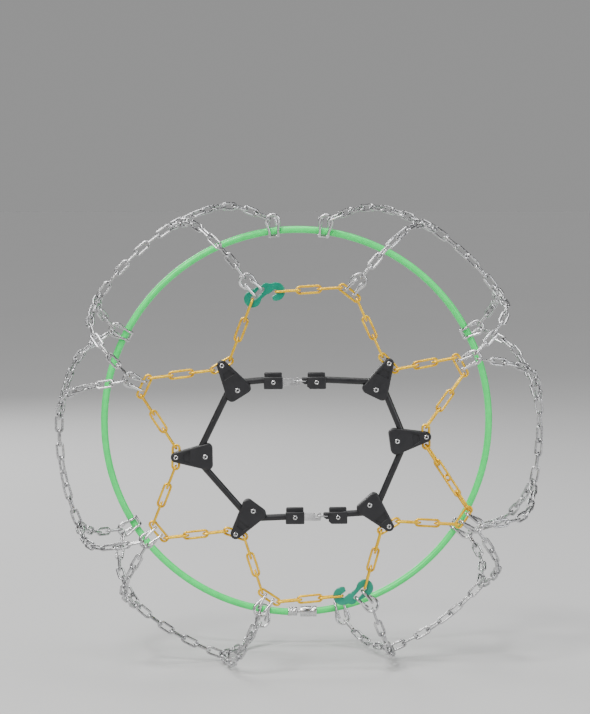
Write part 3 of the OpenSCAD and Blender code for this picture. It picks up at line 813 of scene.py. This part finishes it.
# Arms: corner and side of its tip link, outer end, bore there, number of links
ARMS = {
    "a_hook": ("a", 1, plate_end(0, -1), HOLE_R, 3),
    "a_left": ("a", -1, corner_end(5, 1), SIDE_BORE, 3),
    "f_upper": ("f", 1, corner_end(5, -1), SIDE_BORE, 3),
    "f_lower": ("f", -1, corner_end(4, 1), SIDE_BORE, 3),
    "e_left": ("e", 1, corner_end(4, -1), SIDE_BORE, 3),
    "e_bottom": ("e", -1, corner_end(3, 1), SIDE_BORE, 3),
    "d_hook": ("d", 1, plate_end(1, -1), HOLE_R, 3),
    "d_right": ("d", -1, corner_end(2, 1), SIDE_BORE, 3),
    "c_lower": ("c", 1, corner_end(2, -1), SIDE_BORE, 4),
    "c_upper": ("c", -1, corner_end(1, 1), SIDE_BORE, 3),
    "b_right": ("b", 1, corner_end(1, -1), SIDE_BORE, 3),
    "b_top": ("b", -1, corner_end(0, 1), SIDE_BORE, 3),
}
for name, (corner, side, end, bore, count) in ARMS.items():
    x, z, _, angle = TIPS[corner]
    places = run(link_end(x, z, angle, side), SIDE_BORE, end, bore, count)
    finished(
        chain_piece(f"arm_{name}_links", places, SIDE_MESH),
        YELLOW, f"arm_{name}", "yellow_paint", f"arm_{name}",
    )


# ---- Double hooks ----
def hook_parts(curl, barred):
    """The bent wire of a double hook and, where it is barred, the bar between its ends.

    The wire's left half is its free end, the curl about the bar or cable, a leg and half
    of the bow.
    """
    z, grip = BOW_REACH - BOW_RADIUS, 6
    free = [(-4.4, -curl - 0.4, 16), (-5, -curl - 0.4, 11), (-5.6, -curl - 0.2, 6)]
    free.append((-grip, -curl, 1))
    wrap = arc((-grip, 0, 0), curl, 180, 360, 19, (0, 1, 0), (0, 0, 1))
    leg = [(-6.1, curl, 1.2), (-6.8, curl, 4.5), (-8, curl, 10), (-8.9, curl, z - 1)]
    bow = arc((0, curl, z), BOW_RADIUS, 180, 90, 10)
    left = np.vstack([free, wrap, leg, bow])
    right = left[-2::-1] * (-1, 1, 1)
    parts = [tube(np.vstack([left, right]), HOOK_WIRE / 2, sides=14)]
    if not barred:
        return parts
    bar = np.linspace(-grip, grip, 13)
    bar_path = np.c_[bar, np.zeros(len(bar)), np.full(len(bar), -curl)]
    swell = 1.7 + 0.45 * np.clip((np.abs(bar) - 3.2) / 1.2, 0, 1) ** 2
    return parts + [tube(bar_path, swell)]


def hooks(name, seats, node, barred):
    piece = Piece()
    for seat in seats:
        for verts, faces in hook_parts(seat[4], barred):
            piece.add(verts, faces, seat_place(seat))
    finished(piece.obj(name), BRIGHT, "chain", "zinc_hook", node)


hooks("outer_hook_wires", [outer_seat(k) for k in range(8)], "outer_cross_hooks", False)
hooks("inner_hook_wires", [inner_seat(k) for k in range(8)], "inner_cross_hooks", True)

# ---- Inner cable and its coupling ----
# Along X: the free end's bend, the ball and the socket's end. The axis is at COUPLING_Z.
FLEX_X, BALL_X, SOCKET_X, COUPLING_Z = -24, 10, 27, -266.3
BALL_R, BALL_ROOM, MOUTH_R = 4.2, 5.3, 5.2
# Ends of the two lengths of cable: at the bend, in the ferrule and in the socket
FLEX_GAP, IN_FERRULE, IN_SOCKET = 0.4, -9, SOCKET_X - 7


def hoop_angle(x):
    """Angle of the hoop's lowest part at this x."""
    return -90 + math.degrees(math.asin(x / HOOP_RADIUS))


def hoop(name, x0, x1, turn, n, body, node):
    """A length of the cable, from x0 to x1, with a turn round the hoop between them."""
    path = arc((0, HOOP_PLANE, 0), HOOP_RADIUS, hoop_angle(x0), hoop_angle(x1) + turn, n)
    o = Piece().add(*tube(path, CABLE_D / 2, sides=24)).obj(name)
    finished(o, GREEN, body, "green_coat", node)


hoop("cable_hoop", IN_SOCKET, FLEX_X - FLEX_GAP, 360, 260, "chain", "inner_cable")
hoop("cable_tail", FLEX_X + FLEX_GAP, IN_FERRULE, 0, 12, "cable_free_end", "cable_free_end")


def along_x(p):
    """Turns points about the Y axis into points about the coupling's axis."""
    return np.c_[p[:, 1], HOOP_PLANE + p[:, 0], COUPLING_Z + p[:, 2]]


def turned(name, profile, sides, sharp=180):
    """A lathed piece of the coupling."""
    return fix_normals(Piece().add(*lathe(profile, sides), along_x).obj(name, sharp))


def ball_profile(r, start, step):
    return [(r * sind(a), BALL_X - r * cosd(a)) for a in range(start, 181, step)]


# Ferrule with three crimped grooves, and the neck that carries the ball
FERRULE = [
    (0, -13), (5.2, -13), (5.9, -12.9), (6.2, -12.5), (6.2, -10.6), (5.8, -10.2), (5.8, -9.4),
    (6.2, -9), (6.2, -6.6), (5.8, -6.2), (5.8, -5.4), (6.2, -5), (6.2, -1.2), (5.6, -0.3),
    (4, 0), (2.4, 0.3), (2, 1.2), (2, 6.2), (2.4, 6.6),
]
o = turned("cable_ball_fitting", FERRULE + ball_profile(BALL_R, 40, 10), 36, 50)
finished(o, STEEL, "cable_free_end", "plain_steel", "cable_end_ball")

# Socket: a tube that is crimped on the cable, with room for the ball and a mouth behind it
SOCKET = [
    (0, 4), (6.9, 4), (7.3, 4.15), (7.5, 4.6), (7.5, 18.5), (7.1, 19.2), (7.1, 20.2),
    (7.5, 20.8), (7.5, 26.4), (7.3, 26.85), (6.9, SOCKET_X), (0, SOCKET_X),
]
CABLE_BORE = [(0, 19.5), (5.6, 19.5), (5.6, 28), (0, 28)]
socket = turned("cable_socket_tube", SOCKET, 48, 40)
boolean(socket, turned("cut", CABLE_BORE, 32))
boolean(socket, turned("cut", ball_profile(BALL_ROOM, 0, 12), 32))
mouth = [(BALL_X, HOOP_PLANE + y, COUPLING_Z) for y in (0, 5, 10)]
boolean(socket, Piece().add(*tube(mouth, MOUTH_R, sides=32)).obj("cut"))
lo = (3, HOOP_PLANE - 2.7, COUPLING_Z - 2.7)
hi = (BALL_X, HOOP_PLANE + 9.3, COUPLING_Z + 2.7)
boolean(socket, rounded_box("cut", lo, hi, 0.5))
shade(socket.data, 35)
finished(socket, STEEL, "chain", "plain_steel", "cable_socket")

# ---- Closing hooks ----
# Ends of the slot for a double hook, and the outline of the bridge
SLOT = (-12.3, 1.1), (-0.1, 7.9)
PLATE_BODY = [
    (-4, -3.5), (2.6, -0.7), (6.2, 1.2), (11.5, 3.4), (14, 2.5), (20, 9), (12, 12.2),
    (7.5, 14.8), (4, 14.8), (1, 13.2), (-7.5, 12.4), (-15, 10.4), (-12, -4),
]


def closing_shape(p):
    """Ring on the left, open hook on the right, and the slotted bridge that joins them."""
    ring, claw = circle(p, (-15.5, -0.5), 11), circle(p, (16, 0), 12)
    body = join(join(polygon(p, PLATE_BODY), ring, 2.5), claw, 1.5)
    eye = (PLATE_HALF, 0)
    mouth_end = (PLATE_HALF + 14 * cosd(200), 14 * sind(200))
    openings = [
        circle(p, (-PLATE_HALF, 0), HOLE_R), capsule(p, *SLOT, 2.9),
        circle(p, eye, SIDE_BORE), capsule(p, eye, mouth_end, 2.6),
        polygon(p, [(3.6, -14), (8.8, -14), (8.8, -0.8), (3.6, -0.8)]) - 0.6,
    ]
    return np.maximum(body, -np.minimum.reduce(openings))


for k, name in enumerate(("closing_hook_top", "closing_hook_bottom")):
    x, z, a = CLOSING_HOOKS[k]
    o = plate(name + "_plate", closing_shape, (-29, -15), (31, 18), PLATE_T, 0.7)
    placed(o, axes(flat(a), BACK, outward(a), at(x, z)))
    finished(o, TEAL, "chain", "teal_paint", name)


# ---- Tensioner ----
def belt_stops(names, start, stop):
    """A band's way as circles: a fixed end, three large rivets, a fixed end."""
    stops = [(at(*start), 0)]
    for n in names:
        x, z, a, _ = TIPS[n]
        stops.append((at(x, z) - HOUSING_LEN * flat(a), BELT_R))
    return stops + [(at(*stop), 0)]


def rod_end(k, side, rise):
    """Where a band ends in the left (-1) or right (1) block, upper (0) or lower (1)."""
    x, z = BLOCKS[k]
    return x + (BLOCK_GAP if side > 0 else 0) + side * ROD_X, z + rise


# Each band: its corners in order, and its way
BELTS = dict(
    left=("afe", belt_stops(
        "afe", rod_end(0, -1, RISE_UPPER), rod_end(1, -1, RISE_LOW_LEFT))),
    right=("dcb", belt_stops(
        "dcb", rod_end(1, 1, RISE_LOW_RIGHT), rod_end(0, 1, RISE_UPPER))),
)
SPAN_STEPS, BEND_STEPS = 24, 31


def belt_normal(stops, i):
    """Direction from a circle's middle to where the span after it begins."""
    (p, rp), (q, rq) = stops[i], stops[i + 1]
    d = unit(q - p)
    k = (rp - rq) / np.linalg.norm(q - p)
    return d * k + vec(d[2], 0, -d[0]) * math.sqrt(1 - k * k)


def belt_path(stops, i):
    """A band's middle line from half the span before circle i to half the span after it,
    and for each of the two, its tangent point and its far end."""
    c, r = stops[i]
    n0, n1 = belt_normal(stops, i - 1), belt_normal(stops, i)
    ends = []
    for n, j in ((n0, i - 1), (n1, i + 1)):
        far, far_r = stops[j]
        tangent, other = c + n * r, far + n * far_r
        ends.append((tangent, (tangent + other) / 2 if far_r else other))
    a0, a1 = (math.degrees(math.atan2(n[2], n[0])) for n in (n0, n1))
    a1 = a0 + (a1 - a0) % 360
    bend = arc(c, r, a0, a1, BEND_STEPS)
    share = np.linspace(0, 1, SPAN_STEPS + 1)[:, None]
    before = ends[0][1] + (bend[0] - ends[0][1]) * share[:-1]
    after = bend[-1] + (ends[1][1] - bend[-1]) * share[1:]
    return np.vstack([before, bend, after]), ends


for side, (names, stops) in BELTS.items():
    for i, corner in enumerate(names, 1):
        path, ends = belt_path(stops, i)
        middle = SPAN_STEPS + BEND_STEPS // 2
        for part, points, (end, start) in (
            ("in", path[:middle + 1], ends[0]), ("out", path[middle:][::-1], ends[1]),
        ):
            o = Piece().add(*tube(points, BAND_D / 2, sides=20, up=(0, 1, 0)))
            o = o.obj(f"band_{corner}_{part}")
            finished(o, RUBBER, None, "black_rubber", f"tension_band_{side}")
            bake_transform(o)


# Round corners of a housing's head, which ends flat behind the large rivet
HEAD_X, HEAD_Z, HEAD_R = -2.8, 10.4, 7


def housing_outline(inset, n=14):
    """Outline of a housing, moved inwards by inset, as (x, z) points."""
    dx, dz = HOUSING_LEN - HEAD_X, HEAD_Z
    lean = math.atan2(dz, dx) + math.asin((HEAD_R - TIP_R) / math.hypot(dx, dz))
    lean, outline = math.degrees(lean), []
    for x, z, r, a0, a1 in (
        (HEAD_X, HEAD_Z, HEAD_R, 90 - lean, 180), (HEAD_X, -HEAD_Z, HEAD_R, 180, 270 + lean),
        (HOUSING_LEN, 0, TIP_R, -90 + lean, 90 - lean),
    ):
        a = np.radians(np.linspace(a0, a1, n))
        outline.append(np.c_[x + (r - inset) * np.cos(a), z + (r - inset) * np.sin(a)])
    return np.vstack(outline)


def shell(name, side):
    """One half of a housing: side -1 is the front. A groove marks the seam."""
    half, edge = HOUSING_T / 2, 2
    profile = [(0.35, 0), (0.3, 0.12), (0, 0.4)]  # the groove, as (inset, height)
    profile += [(edge * (1 - cosd(a)), half - edge * (1 - sind(a))) for a in range(0, 91, 15)]
    rings = []
    for inset, y in profile:
        p = housing_outline(inset)
        rings.append(np.c_[p[:, 0], np.full(len(p), side * y), p[:, 1]])
    size = len(rings), len(rings[0])
    faces = rings_to_faces(*size) + end_caps(*size)
    return fix_normals(Piece().add(np.vstack(rings), faces).obj(name, 30))


def pocket_shape(p):
    """Trapezoid between a housing's head and its nose, with sharp corners."""
    corners = [(20.6, 7.6), (20.6, -7.6), (28.2, -4.4), (28.2, 4.4)]
    inside = np.full(p.shape[:-1], -1e9)
    for i in range(4):
        a, b = np.array(corners[i]), np.array(corners[(i + 1) % 4])
        n = np.array([(b - a)[1], -(b - a)[0]]) / np.linalg.norm(b - a)
        inside = np.maximum(inside, (p - a) @ n)
    return inside - 0.8


def rivet(flange, thick):
    """Hollow rivet along Y: rolled flanges and a blind hole at each end."""
    half = thick / 2
    end = [
        (0, -half + 3), (1.45, -half + 3), (1.5, -half - 0.4), (1.8, -half - 0.75),
        (2.2, -half - 0.85), (flange - 0.5, -half - 0.7), (flange - 0.1, -half - 0.35),
        (flange, -half), (RIVET_R, -half + 0.05),
    ]
    return lathe(end + [(r, -h) for r, h in reversed(end)], 40)


def link_slot(x, z, angle):
    """Cutter for the slot that holds a housing's tip link, open towards the nose."""
    width, thick = SIDE["width"] + 1, SIDE["wire"] + 0.8
    slot = rounded_box("cut", (-30, -thick / 2, -width / 2), (30, thick / 2, width / 2 + 20), 0.3)
    return placed(slot, axes(flat(angle), BACK, outward(angle), at(x, z)))


POCKET_DEPTH, CUTTER_T = 2.2, 4
CHANNEL_R, CHANNEL_REACH = BAND_D / 2 + 0.35, 34
FLANGE_LARGE, FLANGE_SMALL = 3.3, 3.1
BAND_WAYS = {
    corner: belt_path(stops, i)[0]
    for names, stops in BELTS.values() for i, corner in enumerate(names, 1)
}
for corner, (x, z, angle, link_angle) in TIPS.items():
    body, big = f"corner_{corner}", at(x, z) - HOUSING_LEN * flat(angle)
    place = axes(flat(angle), BACK, outward(angle), big)
    way = BAND_WAYS[corner]
    near = way[np.linalg.norm(way - big, axis=1) < CHANNEL_REACH]
    for half, sign in (("front", -1), ("back", 1)):
        o = shell(f"housing_{corner}_{half}_shell", sign)
        if half == "front":
            sink = (0, POCKET_DEPTH - (HOUSING_T + CUTTER_T) / 2, 0)
            pocket = plate("cut", pocket_shape, (16, -12), (32, 12), CUTTER_T)
            boolean(o, placed(pocket, lambda p: p + sink))
        placed(o, place)
        channel = Piece().add(*tube(near, CHANNEL_R, sides=24, up=(0, 1, 0)))
        boolean(o, channel.obj("cut"))
        boolean(o, link_slot(x, z, link_angle))
        shade(o.data, 32)
        finished(o, PLASTIC, body, "black_plastic", f"housing_{corner}_{half}")
    piece = Piece().add(*rivet(FLANGE_LARGE, HOUSING_T), place)
    piece.add(*rivet(FLANGE_SMALL, HOUSING_T), lambda p: place(p + (HOUSING_LEN, 0, 0)))
    o = fix_normals(piece.obj(f"rivets_{corner}_tubes", 50))
    finished(o, STEEL, body, "plain_steel", f"rivets_{corner}")
    o = chain_piece(f"tip_link_{corner}_wire", [flat_link(x, z, link_angle)], SIDE_MESH)
    finished(o, YELLOW, body, "yellow_paint", f"tip_link_{corner}")

# ---- End blocks between the bands, with their hook plates and wire eyes ----
BLOCK_T, FLANGE_BLOCK, BEVEL_TURN = 13, 3, 50


def end_block(name, x, z, left):
    """A low front half and a taller back one. The left blocks have a slot for the hook plate,
    the right ones a neck with a bevel for the wire eye."""
    half, a = BLOCK_T / 2, BEVEL_TURN
    o = rounded_box(name, (-12.2, -half, -8.7), (12.2, 0.2, 7.1), 1.3)
    boolean(o, rounded_box("ledge", (-11.4, -0.25, -7), (11.4, half, 12.4), 1.5), "UNION")
    if left:
        boolean(o, rounded_box("slot", (-6, -1.9, -10), (24, 1.9, 6), 0.3))
    else:
        boolean(o, rounded_box("neck", (-19, -4.6, -2.6), (-10, 4.6, 5.8), 1.2), "UNION")
        bevel = rounded_box("bevel", (-4, -20, -10), (4, 20, 10), 0.3)
        boolean(o, placed(bevel, axes(flat(a), BACK, outward(a), vec(-13.6, 0, -9.4))))
    return placed(o, lambda p: p + at(x, z))


# Wire eyes: wire, half width, height in the block, and place of the bend
EYE_WIRE, EYE_HALF, EYE_Z, EYE_X = 2.6, 3.6, 1.6, -23.7
bend = arc((EYE_X, 0, 0), EYE_HALF, 90, 270, 17, (1, 0, 0), (0, 1, 0))
eye = np.vstack([
    [(-14, EYE_HALF, 0), (-18, EYE_HALF, 0)], bend, [(-18, -EYE_HALF, 0), (-14, -EYE_HALF, 0)],
])
blocks, rivets, eyes = [], Piece(), Piece()
for k, (x, z) in enumerate(BLOCKS):
    blocks.append(end_block(f"block_left_{k}", x, z, True))
    blocks.append(end_block(f"block_right_{k}", x + BLOCK_GAP, z, False))
    for dx in (0, BLOCK_GAP):
        rivets.add(*rivet(FLANGE_BLOCK, BLOCK_T), lambda p: p + at(x + dx, z))
    eyes.add(*tube(eye + at(x + BLOCK_GAP, z + EYE_Z), EYE_WIRE / 2, up=(0, 0, 1)))
finished(merged(blocks), PLASTIC, "chain", "black_plastic", "end_blocks")
o = fix_normals(rivets.obj("block_rivet_tubes", 50))
finished(o, STEEL, "chain", "plain_steel", "end_block_rivets")
finished(eyes.obj("band_eye_wires"), BRIGHT, "chain", "plain_steel", "band_eyes")


HOOK_REACH = 32.6  # from the rivet to the middle of the hook's tip


def band_hook_shape(p):
    """Round head on the rivet, broad shank, and a tip that is an arc about the rivet."""
    shank = [(0, -4.6), (31, -4.6), (31, -2), (26.8, -1.6), (25.9, 4.6), (0, 4.6)]
    shank = polygon(p, shank) - 0.4
    body = join(circle(p, (0, 0), 5.4), shank, 1)
    tip = [(HOOK_REACH * cosd(a), HOOK_REACH * sind(a)) for a in range(-6, 10, 3)]
    for a, b in zip(tip, tip[1:]):
        body = join(body, capsule(p, a, b, 1.6), 0.6)
    return np.maximum(body, -circle(p, (0, 0), RIVET_R + 0.15))


for k, name in enumerate(("band_hook_top", "band_hook_bottom")):
    o = plate(name + "_plate", band_hook_shape, (-7, -8), (37, 9), 3, 0.4)
    placed(o, lambda p: p + at(*BLOCKS[k]))
    finished(o, BRIGHT, name, "plain_steel", name)

# ---- Floor, lights and camera ----
FLOOR_Z, FLOOR_HALF = cad_box[0].z / MM - 1, 40000
paper = Nodes("studio_paper")
tone = paper.mix(paper.noise(1.5, 2), (0.6, 0.6, 0.6, 1), (0.58, 0.58, 0.58, 1))
paper.set(Base_Color=tone, Roughness=0.85)
corners = ((-1, -1), (1, -1), (1, 1), (-1, 1))
corners = [(x * FLOOR_HALF, y * FLOOR_HALF, FLOOR_Z) for x, y in corners]
floor = Piece().add(corners, [(0, 1, 2, 3)]).obj("floor")
floor.data.materials.append(paper.mat)


def softbox(name, place, size, power, tint=(1, 1, 1)):
    """A soft light that points at the wheel's middle."""
    light = bpy.data.lights.new(name, "AREA")
    light.shape, light.size, light.size_y = "RECTANGLE", size[0], size[1]
    light.energy, light.color = power, tint
    o = bpy.data.objects.new(name, light)
    bpy.context.scene.collection.objects.link(o)
    o.location = place
    o.rotation_euler = (-Vector(place)).to_track_quat("-Z", "Y").to_euler()


softbox("key", (-1.6, -2.4, 2.2), (1.6, 1.3), 90, (1, 0.98, 0.95))
softbox("fill", (2.4, -1.9, 0.8), (1.0, 1.6), 34, (0.95, 0.97, 1))
softbox("top", (0.3, 0.3, 2.6), (1.8, 1.2), 40)
softbox("back", (-1.2, 2.8, 1.4), (1.4, 1.2), 45)
sun = bpy.data.objects.new("sun", bpy.data.lights.new("sun", "SUN"))
sun.data.energy, sun.data.angle = 1.6, math.radians(12)
sun.rotation_euler = Vector((0.35, 0.5, -1)).to_track_quat("-Z", "Y").to_euler()
bpy.context.scene.collection.objects.link(sun)


def sky():
    """Pale at the horizon, where it meets the floor, and dark higher up."""
    world = bpy.data.worlds.new("studio")
    world.use_nodes = True
    tree = world.node_tree
    coords = tree.nodes.new("ShaderNodeTexCoord")
    split = tree.nodes.new("ShaderNodeSeparateXYZ")
    rise = tree.nodes.new("ShaderNodeMapRange")
    rise.interpolation_type = "SMOOTHSTEP"
    for name, value in (("From Min", 0.05), ("From Max", 0.6), ("To Min", 0.32), ("To Max", 0.1)):
        rise.inputs[name].default_value = value
    tree.links.new(coords.outputs["Generated"], split.inputs[0])
    tree.links.new(split.outputs["Z"], rise.inputs["Value"])
    tree.links.new(rise.outputs["Result"], tree.nodes["Background"].inputs["Strength"])
    tree.nodes["Background"].inputs["Color"].default_value = (1, 1, 1, 1)
    return world


bpy.context.scene.world = sky()

# The camera looks at the wheel's middle in the plane of the side chain
CAMERA_AZIMUTH, CAMERA_ELEVATION, CAMERA_DISTANCE = -2.5, 6.5, 3.0
target = Vector((0, -SIDE_PLANE * MM, 0))
away = Vector((
    cosd(CAMERA_ELEVATION) * sind(CAMERA_AZIMUTH),
    -cosd(CAMERA_ELEVATION) * cosd(CAMERA_AZIMUTH),
    sind(CAMERA_ELEVATION),
))
lens = bpy.data.cameras.new("camera")
lens.sensor_fit, lens.sensor_width, lens.lens = "HORIZONTAL", 36, 141
lens.shift_x, lens.shift_y = -0.015, 0.14
lens.clip_start, lens.clip_end = 0.1, 50
camera = bpy.data.objects.new("camera", lens)
bpy.context.scene.collection.objects.link(camera)
camera.location = target + away * CAMERA_DISTANCE
camera.rotation_euler = (-away).to_track_quat("-Z", "Y").to_euler()
bpy.context.scene.camera = camera
